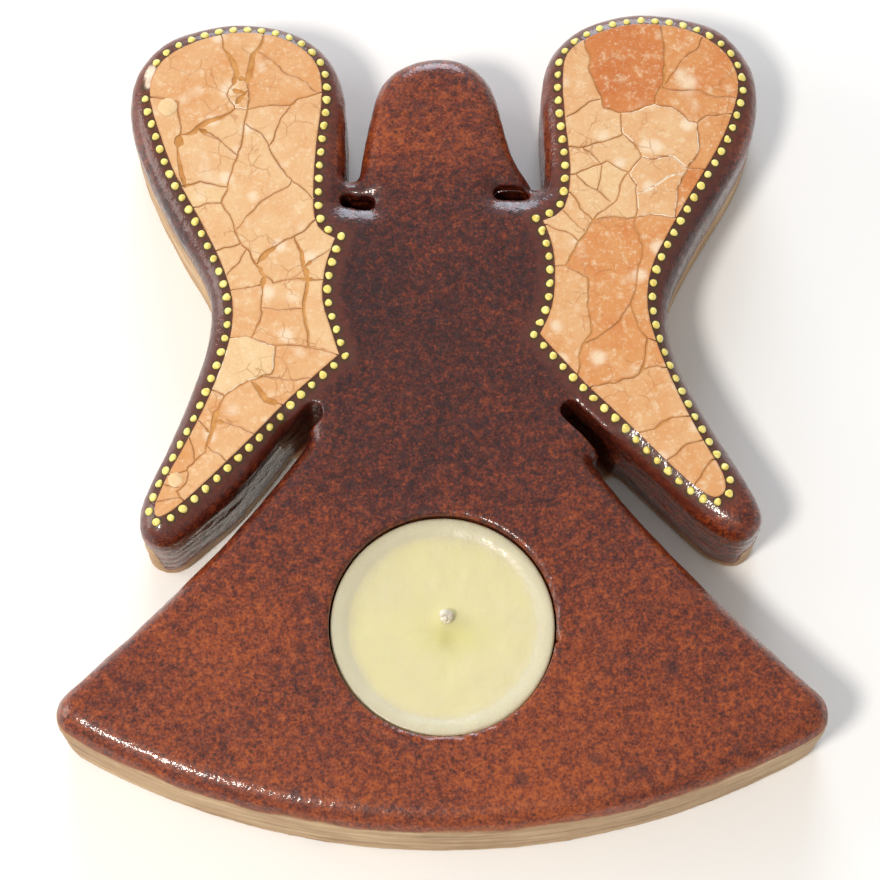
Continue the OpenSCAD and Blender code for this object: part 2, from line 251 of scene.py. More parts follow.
def relaxed(points, quads, rounds, share=0.5):
    """Points moved part of the way to the mean of their neighbours."""
    edges = np.concatenate([quads[:, [i, (i + 1) % 4]] for i in range(4)])
    for _ in range(rounds):
        mean = np.zeros_like(points)
        for k in range(3):
            mean[:, k] = (np.bincount(edges[:, 0], points[edges[:, 1], k], len(points))
                          + np.bincount(edges[:, 1], points[edges[:, 0], k], len(points)))
        degree = np.bincount(edges.ravel(), minlength=len(points))
        points = points + share * (mean / degree[:, None] - points)
    return points


def point_normals(points, quads):
    """Unit normals of a quad mesh at its points."""
    across = np.cross(points[quads[:, 2]] - points[quads[:, 0]], points[quads[:, 3]] - points[quads[:, 1]])
    normals = np.stack([sum(np.bincount(quads[:, i], across[:, k], len(points)) for i in range(4))
                        for k in range(3)], 1)
    return normals / np.maximum(np.linalg.norm(normals, axis=1), 1e-9)[:, None]


# ---------------------------------------------------------------- materials

def colour(code):
    """A linear colour with alpha from a web colour code."""
    parts = [int(code[i:i + 2], 16) / 255 for i in (1, 3, 5)]
    return [c / 12.92 if c <= 0.04045 else ((c + 0.055) / 1.055) ** 2.4 for c in parts] + [1.0]


class Finish:
    """A material round one Principled shader. Patterns are laid out in millimetres."""

    def __init__(self, name):
        self.material = bpy.data.materials.new(name)
        self.material.use_nodes = True
        self.tree = self.material.node_tree
        self.shader = self.tree.nodes["Principled BSDF"]
        place = self.add("TexCoord").outputs["Object"]
        self.mm = self.add("VectorMath", {0: place, "Scale": 1 / MM}, operation="SCALE").outputs[0]

    def add(self, kind, inputs=None, **settings):
        node = self.tree.nodes.new("ShaderNode" + kind)
        for key, value in settings.items():
            setattr(node, key, value)
        for key, value in (inputs or {}).items():
            self.put(node.inputs[key], value)
        return node

    def put(self, socket, value):
        if isinstance(value, bpy.types.NodeSocket):
            self.tree.links.new(value, socket)
        else:
            socket.default_value = value

    def set(self, **inputs):
        for key, value in inputs.items():
            self.put(self.shader.inputs[key.replace("_", " ")], value)

    def stretched(self, x, y, z):
        """Places scaled along each axis: below 1 draws a pattern out, and above 1 squeezes it."""
        return self.add("VectorMath", {0: self.mm, 1: (x, y, z)}, operation="MULTIPLY").outputs[0]

    def noise(self, size, detail=3.0, rough=0.6, at=None):
        """Noise from 0 to 1 with features of that size."""
        return self.add("TexNoise", {"Vector": at or self.mm, "Scale": 1 / size, "Detail": detail,
                                     "Roughness": rough}).outputs["Fac"]

    def drifted(self, distance, size):
        """Places led off by noise, so that straight patterns wander."""
        colours = self.add("TexNoise", {"Vector": self.mm, "Scale": 1 / size, "Detail": 2.0}).outputs["Color"]
        drift = self.add("VectorMath", {0: colours, 1: (distance,) * 3}, operation="MULTIPLY").outputs[0]
        return self.add("VectorMath", {0: self.mm, 1: drift}, operation="ADD").outputs[0]

    def cells(self, size, feature="F1", at=None):
        """Distance to the middle of the nearest cell, or to its edge, in cells of that size."""
        return self.add("TexVoronoi", {"Vector": at or self.mm, "Scale": 1 / size},
                        feature=feature).outputs["Distance"]

    def value(self, name):
        """A mesh's own per-point value."""
        return self.add("Attribute", attribute_name=name).outputs["Fac"]

    def sum(self, a, b):
        return self.add("Math", {0: a, 1: b}, operation="ADD").outputs[0]

    def times(self, a, b):
        return self.add("Math", {0: a, 1: b}, operation="MULTIPLY").outputs[0]

    def span(self, value, low, high, to_low=0.0, to_high=1.0):
        """A value's range carried smoothly to another one, and held at its ends."""
        return self.add("MapRange", {"Value": value, "From Min": low, "From Max": high,
                                     "To Min": to_low, "To Max": to_high},
                        interpolation_type="SMOOTHSTEP").outputs["Result"]

    def mix(self, share, a, b):
        """Colour a with a share of colour b laid over it."""
        node = self.add("Mix", data_type="RGBA")
        for socket, value in ((0, share), (6, a), (7, b)):
            self.put(node.inputs[socket], colour(value) if isinstance(value, str) else value)
        return node.outputs[2]

    def ramp(self, value, *stops):
        """A colour for each value: stops are (place, colour code)."""
        node = self.add("ValToRGB", {"Fac": value})
        while len(node.color_ramp.elements) < len(stops):
            node.color_ramp.elements.new(1.0)
        for element, (place, code) in zip(node.color_ramp.elements, stops):
            element.position, element.color = place, colour(code)
        return node.outputs["Color"]

    def bumps(self, *layers):
        """Bumps one on another: layers are (height, depth in millimetres)."""
        normal = None
        for height, depth in layers:
            inputs = {"Height": height, "Distance": depth * MM, "Strength": 1.0}
            if normal is not None:
                inputs["Normal"] = normal
            normal = self.add("Bump", inputs).outputs["Normal"]
        self.set(Normal=normal, Coat_Normal=normal)


def clay_finish():
    """Dyed and varnished clay, with bare clay low on the walls and glue under the shell."""
    f = Finish("dyed_clay")
    y = f.add("SeparateXYZ", {0: f.mm}).outputs["Y"]
    cloud = f.noise(26, 2)
    mottle = f.noise(1.5, 5, 0.7)
    grain = f.noise(0.5, 3, 0.7)
    along = f.sum(f.span(y, -70, 25, 0.09, -0.12), f.span(y, 38, 50, 0, 0.18))
    warmth = f.sum(along, f.sum(f.times(cloud, 0.3), -0.15))
    tone = f.sum(f.sum(f.times(mottle, 0.75), f.times(grain, 0.8)), f.sum(warmth, -0.19))
    dyed = f.ramp(tone, (0.36, "#260a08"), (0.50, "#46170e"), (0.60, "#642610"), (0.70, "#823714"),
                  (0.86, "#a34f1b"))
    speck = f.span(f.cells(1.5), 0.12, 0.36)
    speck_here = f.span(f.noise(3, 2), 0.42, 0.62)
    dyed = f.mix(f.times(f.add("Math", {0: 1.0, 1: speck}, operation="SUBTRACT").outputs[0],
                         f.times(speck_here, 0.75)), dyed, "#2f0f0c")
    blotch = f.span(f.cells(6.5, at=f.drifted(2.0, 2.5)), 0.12, 0.26, 0.55, 0.0)
    dyed = f.mix(f.times(blotch, f.span(f.noise(9, 2), 0.45, 0.6)), dyed, "#331518")
    drag = f.noise(3.0, 4, 0.6, f.stretched(0.16, 0.16, 1.6))
    bare = f.ramp(f.sum(f.times(drag, 0.7), f.times(f.noise(9, 3), 0.3)),
                  (0.3, "#8f7153"), (0.5, "#ba9a76"), (0.7, "#d6bc97"))
    dye = f.span(f.sum(f.value("dye"), f.sum(f.times(f.noise(1.6, 4), 0.3), -0.15)), 0.1, 0.9)
    thin = f.mix(0.5, dyed, "#8f5a38")
    base = f.mix(f.span(dye, 0.0, 0.6), bare, f.mix(f.span(dye, 0.4, 1.0), thin, dyed))
    base = f.mix(f.value("chip"), base, f.ramp(f.noise(1.2, 3), (0.3, "#cdb59b"), (0.7, "#f0e3d0")))
    base = f.mix(f.times(f.value("plain"), 0.7), base, "#5e2a1e")
    base = f.mix(f.times(f.value("halo"), 0.85), base, "#3f3013")
    glue = f.ramp(f.noise(2.5, 3), (0.3, "#b3762f"), (0.7, "#d79c58"))
    base = f.mix(f.value("glue"), base, glue)
    gloss = f.times(dye, f.span(f.noise(1.2, 3), 0.35, 0.65, 0.5, 0.9))
    f.set(Base_Color=base, Roughness=f.span(dye, 0, 1, 0.72, 0.42), Specular_IOR_Level=0.35,
          Coat_Weight=gloss, Coat_Roughness=0.1, Coat_IOR=1.45)
    f.bumps((f.noise(1.8, 3, 0.6), 0.14), (f.noise(0.6, 1, 0.5), 0.05),
            (f.times(drag, f.span(dye, 0, 1, 1.0, 0.0)), 0.25))
    return f.material


def shell_finish():
    """Crackled eggshell, cream to orange with round cloudy spots, under thin varnish."""
    f = Finish("eggshell")
    own_tone = f.value("tone")
    tone = f.sum(own_tone, f.sum(f.times(f.noise(5.5, 4), 0.6), -0.3))
    base = f.ramp(tone, (0.0, "#e5c694"), (0.35, "#dcab77"), (0.62, "#d39255"), (0.8, "#cd7e3d"),
                  (1.0, "#c16927"))
    spots = f.span(f.cells(5.6, "SMOOTH_F1", at=f.drifted(1.0, 4)), 0.10, 0.32, 1.0, 0.0)
    base = f.mix(f.times(spots, f.span(f.noise(9, 1), 0.34, 0.5, 0.1, 0.75)), base, "#eedabc")
    blots = f.span(f.noise(2.2, 4, 0.7), 0.5, 0.72, 0.0, 0.5)
    base = f.mix(blots, base, "#ead1aa")
    base = f.mix(f.span(f.noise(0.55, 3, 0.7), 0.52, 0.75, 0.0, 0.45), base, "#eedab8")
    base = f.mix(f.span(f.noise(0.6, 3, 0.7, f.stretched(1, 1.3, 1)), 0.6, 0.74, 0.0, 0.4), base, "#b97238")
    for size, seen, width in ((4.2, 0.5, 0.035), (2.3, 0.56, 0.03)):
        from_vein = f.cells(size, "DISTANCE_TO_EDGE", at=f.drifted(0.35 * size, 0.6 * size))
        veins = f.span(from_vein, 0.0, width, 1.0, 0.0)
        veins_here = f.span(f.noise(size * 1.8, 2), seen, seen + 0.12, 0.0, 0.55)
        base = f.mix(f.times(veins, veins_here), base, "#a8682f")
    edge = f.value("edge")
    chalky = f.times(f.value("chalk"), f.span(f.noise(1.6, 3), 0.42, 0.55))
    base = f.mix(f.times(edge, f.span(f.noise(3.5, 2), 0.35, 0.65, 0.35, 0.85)), base, "#a5672f")
    base = f.mix(f.times(f.span(edge, 0.1, 0.9), chalky), base, "#f8ecd6")
    f.set(Base_Color=base, Roughness=0.5, Coat_Weight=0.35, Coat_Roughness=0.25)
    f.bumps((f.noise(3.0, 3), 0.12), (f.noise(0.4, 3, 0.7), 0.025))
    return f.material


def paint_finish():
    """Raised yellow paint, a little uneven."""
    f = Finish("yellow_paint")
    base = f.ramp(f.noise(0.9, 3), (0.3, "#d9bd55"), (0.5, "#f0de76"), (0.7, "#f8ee9c"))
    base = f.mix(f.value("rim"), base, "#6d5a22")
    f.set(Base_Color=base, Roughness=0.45, Coat_Weight=0.25, Coat_Roughness=0.2)
    f.bumps((f.noise(0.4, 2), 0.04))
    return f.material


def wax_finish():
    """Cream wax: light goes a little way in."""
    f = Finish("cream_wax")
    base = f.ramp(f.sum(f.times(f.noise(7, 3), 0.6), f.times(f.value("rim"), 0.6)),
                  (0.2, "#dad29f"), (0.45, "#d6cda4"), (0.8, "#cfc8aa"))
    # Painted shadow: a darker, greener patch just in front of the wick and a little to its right, where the
    # wick's shade falls on the wax.
    base = f.mix(f.times(f.value("painted_wick_shadow"), 0.7), base, "#cfc87c")
    f.set(Base_Color=base, Roughness=f.span(f.noise(4, 3), 0.3, 0.7, 0.28, 0.5),
          Subsurface_Weight=0.35, Subsurface_Radius=(1.0, 0.8, 0.35), Subsurface_Scale=0.003,
          Coat_Weight=0.2, Coat_Roughness=0.15)
    f.bumps((f.noise(5, 3), 0.25), (f.noise(0.8, 3), 0.03))
    return f.material


def wick_finish():
    """Waxed white cotton, darker between its strands."""
    f = Finish("waxed_cotton")
    base = f.ramp(f.noise(0.35, 4, at=f.stretched(1, 1, 0.3)), (0.3, "#b9ab8c"), (0.6, "#f4efe0"))
    f.set(Base_Color=base, Roughness=0.6, Subsurface_Weight=0.1, Subsurface_Scale=0.001)
    f.bumps((f.noise(0.12, 2, at=f.stretched(1, 1, 0.2)), 0.04))
    return f.material


def tin_finish():
    """Tinned sheet, brushed, with a few dull stains."""
    f = Finish("tinned_sheet")
    brushed = f.noise(0.5, 4, at=f.stretched(0.1, 1.5, 1))
    base = f.ramp(f.sum(f.times(brushed, 0.5), f.times(f.noise(4, 3), 0.5)),
                  (0.3, "#8f9092"), (0.7, "#c9cacc"))
    f.set(Base_Color=base, Metallic=1.0, Roughness=f.span(brushed, 0.3, 0.7, 0.25, 0.45))
    f.bumps((brushed, 0.01))
    return f.material


def floor_finish():
    """A pale matt floor."""
    f = Finish("pale_floor")
    f.set(Base_Color=f.ramp(f.noise(60, 2), (0.0, "#f2f2f1"), (1.0, "#f6f6f5")), Roughness=0.8)
    return f.material


# ---------------------------------------------------------------- the clay slab

STEP = 0.6              # sampling of the slab's shape
TOP = 20.0              # the slab's top face
ROLL = 4.5              # radius of the rolled upper edge
FOOT = 0.9              # radius of the lower edge
RECESS = 0.04           # depth of the bed for the shell, which glue has almost filled
WALL_LEVEL = 2.0        # a level where the slab has its widest outline and no cuts but the outline
CUT_LEVEL = 15.0        # a level where the slab has all its cuts and still its widest outline
BED_LEVEL = 19.7        # a level that crosses the beds for the shell
HAIR_FLOOR, NOTCH_FLOOR = 14.0, 10.0    # floors of the cuts in the hair and past the notches
CHIP, CHIP_HALF = (-52.4, 62.0), (1.0, 2.7)     # middle and half-size of the chip on the left wing
CHIP_LEAN = 0.2         # how far the chip leans to the right for each millimetre up
DENT_DEPTH, DENT_REACH = 1.1, 2.3       # how the hair's cuts press the clay beside them down
DYED_WALL = 3.0         # where the dye ends on most walls, and on the hem and the wings' outer walls
HEM_WALL, LEFT_WALL, RIGHT_WALL = 17.2, 13.5, 10.0

wax_low, wax_high = box_mm("candle_wax")
candle_centre = (wax_low + wax_high)[:2] / 2
candle_radius = (wax_high - wax_low)[0] / 2
SOCKET_RADIUS = candle_radius + 0.2     # a little less than the CAD socket's, which is cut with more play
WINGS = {wing: [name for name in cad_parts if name.startswith(wing)]
         for wing in ("left_shell", "right_shell")}

slab_outline = slice_at("clay_slab", WALL_LEVEL)
cut_outline = slice_at("clay_slab", CUT_LEVEL)


def kinds_of_cut():
    """Which segments of the slab's cut outline belong to the socket, the hair and the notches."""
    middles = cut_outline.mean(1)
    is_cut = distance_field(slab_outline, middles[:, 0], middles[:, 1]) > 0.2
    in_socket = is_cut & (np.linalg.norm(middles - candle_centre, axis=1) < candle_radius + 1)
    in_hair = is_cut & ~in_socket & (middles[:, 1] > 20)
    return in_socket, in_hair, is_cut & ~in_socket & ~in_hair


in_socket, in_hair, in_notch = kinds_of_cut()


def slab_field():
    """The slab's solid as a sampled field."""
    low, high = box_mm("clay_slab")
    margin = 2 * STEP
    xs, ys, zs = (np.arange(low[k] - margin, high[k] + margin + STEP, STEP) for k in range(3))
    x, y = np.meshgrid(xs, ys, indexing="ij")
    z = zs[None, None, :]
    depth = distance_field(slab_outline, x, y)
    kept = distance_field(cut_outline, x, y) > 0

    def rounded(radius, below_face):
        """The walls and a flat face, with an edge of that radius between them."""
        a, b = radius - depth[:, :, None], radius - below_face
        return np.minimum(np.maximum(a, b), 0) + np.hypot(np.maximum(a, 0), np.maximum(b, 0)) - radius

    field = np.maximum(rounded(ROLL, TOP - z), rounded(FOOT, z))
    cuts = ((in_socket, wax_low[2], 0.3, 0.15), (in_hair, HAIR_FLOOR, 1.2, 0.0),
            (in_notch, NOTCH_FLOOR, 1.2, 0.0))
    for chosen, floor, lip, slack in cuts:
        gap = -np.abs(distance_field(cut_outline[chosen], x, y))
        gap = np.where((depth > 0) & ~kept, -gap, gap) - slack
        void = np.minimum(gap[:, :, None], z - floor)
        field = smooth_max(field, void, lip)
    for wing in WINGS:
        bed = bed_distance(wing, x, y)
        void = np.minimum(bed[:, :, None], z - (TOP - RECESS))
        field = np.maximum(field, void)
    return field, np.array([xs[0], ys[0], zs[0]])


def bed_outline(names):
    """The outline of the bed that a wing's pieces of shell lie in, as segments."""
    boxes = np.array([box_mm(name) for name in names])
    low, high = boxes[:, 0].min(0)[:2], boxes[:, 1].max(0)[:2]
    loops = loops_at("clay_slab", BED_LEVEL)
    loop = min(loops, key=lambda one: np.abs(one.min(0) - low).sum() + np.abs(one.max(0) - high).sum())
    return np.stack([loop, np.roll(loop, -1, 0)], 1)


def bed_distance(wing, x, y):
    """Signed distance to a wing's bed, positive inside it."""
    outline = bed_outlines[wing]
    low, high = outline.min((0, 1)) - 2, outline.max((0, 1)) + 2
    near = (x > low[0]) & (x < high[0]) & (y > low[1]) & (y < high[1])
    bed = np.full(x.shape, -9.0)
    bed[near] = distance_field(outline, x[near], y[near])
    return bed


bed_outlines = {wing: bed_outline(names) for wing, names in WINGS.items()}


def dot_centres(node):
    """The centre and radius of each paint dot of a CAD node."""
    low, _ = box_mm(node)
    found = []
    for loop in loops_at(node, low[2] + 0.15):
        centre = (loop.min(0) + loop.max(0)) / 2
        found.append((centre, (loop.max(0) - loop.min(0)).max() / 2))
    return found


def in_chip(x, y, unevenness=0.0):
    """1 inside the chip on the left wing's rim, where dye and dots are gone, and 0 outside it."""
    across, along = x - CHIP[0] - CHIP_LEAN * (y - CHIP[1]), y - CHIP[1]
    return smoothstep(1.15, 0.85, np.hypot(across / CHIP_HALF[0], along / CHIP_HALF[1]) + unevenness)


def bare_level(points, normals):
    """The height on the walls below which the dye gives way to bare clay."""
    x, y = points[:, 0], points[:, 1]
    past_skirt = 0.79 * (np.abs(x) - 15) + 0.61 * (y - 5)       # distance out from the skirt's straight sides
    from_candle = np.linalg.norm(points[:, :2] - candle_centre, axis=1)
    on_wing = smoothstep(6.5, 9, past_skirt) * smoothstep(-32, -28, y)
    on_skirt = np.maximum(smoothstep(6.5, 4.5, past_skirt), smoothstep(-28, -32, y))
    on_skirt *= smoothstep(candle_radius + 1.5, candle_radius + 3, from_candle)
    left_wing = on_wing * smoothstep(-34, -40, x) * smoothstep(0.1, -0.5, normals[:, 0])
    right_wing = on_wing * smoothstep(34, 40, x) * smoothstep(-0.1, 0.5, normals[:, 0])
    level = DYED_WALL + (HEM_WALL - DYED_WALL) * on_skirt * smoothstep(-15, -56, y)
    level = np.maximum(level, LEFT_WALL * left_wing)
    return np.maximum(level, RIGHT_WALL * right_wing)


def without_flat_quads(points, quads):
    """The faces of the slab, with the small quads inside its flat underside made into one face."""
    low = np.flatnonzero(points[:, 2] < 0.05)
    flat = np.zeros(len(points), bool)
    flat[low] = distance_field(slab_outline, points[low, 0], points[low, 1]) > 2.5
    inside = flat[quads].all(1)
    sides = {(int(a), int(b)) for quad in quads[inside] for a, b in zip(quad, np.roll(quad, -1))}
    onward = {a: b for a, b in sides if (b, a) not in sides}
    faces = quads[~inside].tolist()
    while onward:
        here = next(iter(onward))
        loop = []
        while here in onward:
            loop.append(here)
            here = onward.pop(here)
        faces.append(loop)
    used = np.unique([i for face in faces for i in face])
    place = np.full(len(points), -1)
    place[used] = np.arange(len(used))
    return used, [[int(place[i]) for i in face] for face in faces]


def round_socket(points, from_candle):
    """Moves the points of the socket's wall onto a true circle, which widens at its lip."""
    beside = (np.abs(from_candle - SOCKET_RADIUS) < 0.55) & (points[:, 2] > wax_low[2] + 0.5)
    lip = 0.25 * smoothstep(TOP - 0.5, TOP, points[beside, 2])
    outward = (points[beside, :2] - candle_centre) / from_candle[beside, None]
    points[beside, :2] = candle_centre + outward * (SOCKET_RADIUS + lip)[:, None]


def hair_dents(points):
    """How far down each point was pressed when the hair was cut."""
    near = ((np.abs(points[:, 0]) < 26) & (points[:, 1] > 30) & (points[:, 1] < 48)
            & (points[:, 2] > TOP - 3))
    away = np.abs(distance_field(cut_outline[in_hair], points[near, 0], points[near, 1]))
    dents = np.zeros(len(points))
    dents[near] = DENT_DEPTH * np.exp(-(away / DENT_REACH) ** 2)
    return dents


def shaped_by_hand(points, normals, loose):
    """The points with the low waves, drag marks and dents of handwork, all of them inwards."""
    dents = hair_dents(points)
    wall = 1 - np.abs(normals[:, 2])
    waves = 0.10 * (noise_at(points, 22, 2) - 1) + 0.02 * noise_at(points, 5, 2, 1)
    drags = 0.16 * wall * noise_at(points * [0.25, 0.25, 1], 1.6, 3, 2)
    points = points + normals * (np.minimum(waves + drags - 0.05, -0.03) * loose)[:, None]
    points[:, 2] = np.maximum(points[:, 2] - dents * loose, 0)
    return points


def slab_colours(points, normals, dots):
    """Values for the clay's material: dye, the paint's stain round the dots, and the chip."""
    level = bare_level(points, normals)
    fade = 2.2 + 1.8 * smoothstep(17, 15, level)
    dye = smoothstep(level - fade, level + fade, points[:, 2] + 0.8 * noise_at(points, 9, 2, 3))
    chip = in_chip(points[:, 0], points[:, 1], 0.35 * noise_at(points, 2, 2, 4)) * (points[:, 2] > TOP - 2)
    centres = np.array([centre for centre, _ in dots])
    radius = np.mean([r for _, r in dots])
    top = points[:, 2] > TOP - ROLL
    from_dot = np.full(len(points), 9.0)
    from_dot[top] = np.min(np.linalg.norm(points[top][:, None, :2] - centres[None], axis=2), axis=1)
    halo = smoothstep(radius + 0.55, radius + 0.15, from_dot)
    plain = smoothstep(3.2, 1.6, from_dot)
    return {"dye": dye * (1 - chip), "halo": halo * (1 - chip), "plain": plain * (1 - chip), "chip": chip}


def make_slab(material, dots):
    """The slab as one piece. Gives back its surface, for the dots to stand on."""
    field, origin = slab_field()
    points, quads = surface_nets(field, origin, STEP)
    points = relaxed(points, quads, 3)
    normals = point_normals(points, quads)
    bed = np.max([bed_distance(wing, points[:, 0], points[:, 1]) for wing in WINGS], axis=0)
    on_top = points[:, 2] > TOP - 1
    from_candle = np.linalg.norm(points[:, :2] - candle_centre, axis=1)
    loose = (1 - smoothstep(-0.1, 0.3, bed) * on_top) * smoothstep(0.2, 1.5, points[:, 2])
    loose *= smoothstep(candle_radius + 0.6, candle_radius + 3.0, from_candle)
    round_socket(points, from_candle)
    points = shaped_by_hand(points, normals, loose)
    values = slab_colours(points, normals, dots)
    values["glue"] = smoothstep(0.0, 0.6, bed) * on_top
    used, faces = without_flat_quads(points, quads)
    new_piece("clay_angel_slab", points[used], faces, material, "holder", ["clay_slab"],
              {key: value[used] for key, value in values.items()})
    return BVHTree.FromPolygons(points.tolist(), quads.tolist())


# ---------------------------------------------------------------- shell

def area_of(polygon):
    """Area, positive for a polygon that runs counter-clockwise."""
    x, y = polygon.T
    return 0.5 * (x @ np.roll(y, -1) - y @ np.roll(x, -1))


def half_of(polygon, side):
    """The part of a polygon where its points' side values are positive."""
    kept = []
    for i in range(len(polygon)):
        j = (i + 1) % len(polygon)
        if side[i] >= 0:
            kept.append(polygon[i])
        if (side[i] >= 0) != (side[j] >= 0):
            kept.append(polygon[i] + (polygon[j] - polygon[i]) * side[i] / (side[i] - side[j]))
    return np.array(kept)


def fracture(polygon, target, rng):
    """Cracks a polygon across its length, again and again, down to about the target area."""
    if area_of(polygon) < 2 * target * rng.uniform(0.8, 2.2):
        return [polygon]
    spread = polygon - polygon.mean(0)
    long_way = np.linalg.svd(spread, full_matrices=False)[2][0]
    for _ in range(12):
        turn = rng.normal(0, 0.45)
        normal = np.array([long_way[0] * math.cos(turn) - long_way[1] * math.sin(turn),
                           long_way[0] * math.sin(turn) + long_way[1] * math.cos(turn)])
        along = spread @ normal
        side = along - rng.uniform(0.35, 0.65) * np.ptp(along) - along.min()
        if np.count_nonzero((side >= 0) != (np.roll(side, 1) >= 0)) == 2:
            return (fracture(half_of(polygon, side), target, rng)
                    + fracture(half_of(polygon, -side), target, rng))
    return [polygon]


def finely(polygon, pitch=0.45):
    """A polygon with more points along its sides."""
    points = []
    for a, b in zip(polygon, np.roll(polygon, -1, 0)):
        steps = max(1, round(float(np.linalg.norm(b - a)) / pitch))
        points += [a + (b - a) * i / steps for i in range(steps)]
    return np.array(points)


def inset(polygon, distance):
    """A polygon drawn in by small distances, for one that runs counter-clockwise."""
    ahead = np.roll(polygon, -2, 0) - np.roll(polygon, 2, 0)
    inward = np.stack([-ahead[:, 1], ahead[:, 0]], 1)
    inward /= np.maximum(np.linalg.norm(inward, axis=1), 0.3)[:, None]
    return polygon + inward * np.reshape(distance, (-1, 1))


def wandering(points, freedom):
    """Cracks led off their straight lines, the same way on both sides. Freedom is 0 at the rim."""
    moved = [noise.noise_vector(Vector((p[0], p[1], 7.0)) / 5.5) * 1.3
             + noise.noise_vector(Vector((p[0], p[1], 3.0)) / 1.4) * 0.22
             + noise.noise_vector(Vector((p[0], p[1], 1.0)) / 0.8) * 0.06 for p in points]
    return points + np.array([[m.x, m.y] for m in moved]) * freedom[:, None]


# Each piece of shell: how orange it is, the size of its fragments in square millimetres,
# and how far it lies above the lowest pieces.
SHELL_LOOKS = {
    "left_shell_crown_outer": (0.48, 60, 0.00), "left_shell_crown_middle": (0.42, 22, 0.01),
    "left_shell_crown_inner": (0.50, 40, 0.00), "left_shell_star": (0.30, 3, 0.09),
    "left_shell_rim_upper": (0.35, 22, 0.02), "left_shell_rim_middle": (0.22, 14, 0.03),
    "left_shell_rim_lower": (0.22, 16, 0.03), "left_shell_field_outer": (0.38, 40, 0.05),
    "left_shell_field_inner": (0.30, 70, 0.05), "left_shell_waist_outer": (0.28, 14, 0.03),
    "left_shell_waist_middle": (0.30, 12, 0.02), "left_shell_shoulder": (0.25, 18, 0.04),
    "left_shell_hip_inner": (0.34, 30, 0.02), "left_shell_hip_middle": (0.36, 24, 0.03),
    "left_shell_hip_outer": (0.36, 24, 0.02), "left_shell_patch": (0.16, 30, 0.10),
    "left_shell_elbow": (0.36, 26, 0.02), "left_shell_tail_inner": (0.45, 26, 0.03),
    "left_shell_tail_outer": (0.50, 14, 0.01), "left_shell_tip": (0.45, 6, 0.02),
    "right_shell_crown_inner": (0.86, 70, 0.00), "right_shell_crown_outer": (0.66, 34, 0.00),
    "right_shell_rim_upper": (0.68, 22, 0.00), "right_shell_rim_lower": (0.75, 14, 0.00),
    "right_shell_field_top": (0.26, 34, 0.10), "right_shell_field_edge": (0.34, 40, 0.02),
    "right_shell_field_outer": (0.28, 20, 0.09), "right_shell_field_wedge": (0.22, 12, 0.05),
    "right_shell_field_middle": (0.24, 16, 0.04), "right_shell_field_lower": (0.22, 14, 0.05),
    "right_shell_shoulder": (0.34, 12, 0.04), "right_shell_shoulder_tip": (0.32, 14, 0.03),
    "right_shell_waist_middle": (0.70, 90, 0.00), "right_shell_waist_inner": (0.55, 60, 0.01),
    "right_shell_waist_outer": (0.66, 50, 0.00), "right_shell_elbow": (0.66, 14, 0.01),
    "right_shell_tail_upper": (0.52, 40, 0.02), "right_shell_tail_middle": (0.48, 18, 0.02),
    "right_shell_tail_lower": (0.58, 24, 0.02), "right_shell_tip": (0.60, 10, 0.02)}
# Where the cracks of each wing open into wedges that show the glue: from the wide end to the
# point, and the width at the wide end.
WEDGES = {
    "left_shell": (((-36.2, 57.0), (-37.5, 68.5), 2.0), ((-34.8, 61.5), (-32.0, 69.5), 1.4),
                   ((-46.5, 49.0), (-38.0, 54.0), 2.2), ((-45.6, 41.0), (-46.4, 47.5), 1.3),
                   ((-31.0, 25.0), (-29.2, 30.5), 1.3), ((-31.2, 21.5), (-33.8, 26.0), 1.2),
                   ((-23.9, 22.5), (-24.6, 29.0), 1.1), ((-24.1, 21.0), (-23.6, 12.0), 0.5),
                   ((-29.5, -0.3), (-35.5, 1.8), 1.3), ((-38.5, -3.0), (-40.0, -8.5), 1.4)),
    "right_shell": (((40.9, 63.2), (39.4, 56.2), 0.4), ((37.0, -5.5), (41.0, -3.4), 0.4))}
# Round bits of shell that stand up from the rest: centre, radius and height.
BLISTERS = {"left_shell_rim_upper": ((-48.9, 55.7), 1.7, 0.30),
            "left_shell_tip": ((-45.8, -14.6), 1.3, 0.16)}
HAIRLINE = 0.07         # least width of a crack between two fragments of one piece
JOINT_GROWTH = 0.11     # how far a piece grows into the joint round it, which the CAD leaves wide
SHELL_TOP = 0.06        # height of the lowest pieces above the clay
SMALLEST_FRAGMENT = 0.6     # square millimetres; anything smaller has fallen out
CHALKY_RISE = 0.08      # pieces that rise further than this have chalky edges
MOST_LEAN = 0.05        # the most that a fragment's tilt may lift or lower its edge


def opening(points, wedges):
    """How far each point is drawn back from a crack that opens into a wedge."""
    widest = np.zeros(len(points))
    for start, end, width in wedges:
        start, way = np.array(start), np.array(end) - np.array(start)
        t = np.clip((points - start) @ way / (way @ way), 0, 1)
        away = np.linalg.norm(points - start - t[:, None] * way, axis=1)
        widest = np.maximum(widest, 0.5 * width * (1 - t) * smoothstep(1.2, 0.7, away))
    return widest


def room_inside(outline, inward):
    """Radius of the largest circle inside an outline that touches it at each of its points."""
    apart = outline[None] - outline[:, None]
    ahead = np.einsum("ijk,ik->ij", apart, inward)
    squared = (apart ** 2).sum(2)
    return np.min(np.where(ahead > 0.02, squared / np.maximum(2 * ahead, 0.02), 9.0), axis=1)


def filled(outline):
    """Triangles that fill an outline, even where it crosses itself."""
    count = len(outline)
    loop = [(i, (i + 1) % count) for i in range(count)]
    corners, _, faces, *_ = delaunay_2d_cdt([Vector(p) for p in outline], loop, [list(range(count))], 1, 1e-5)
    return np.array([tuple(corner) for corner in corners]), [list(face) for face in faces]


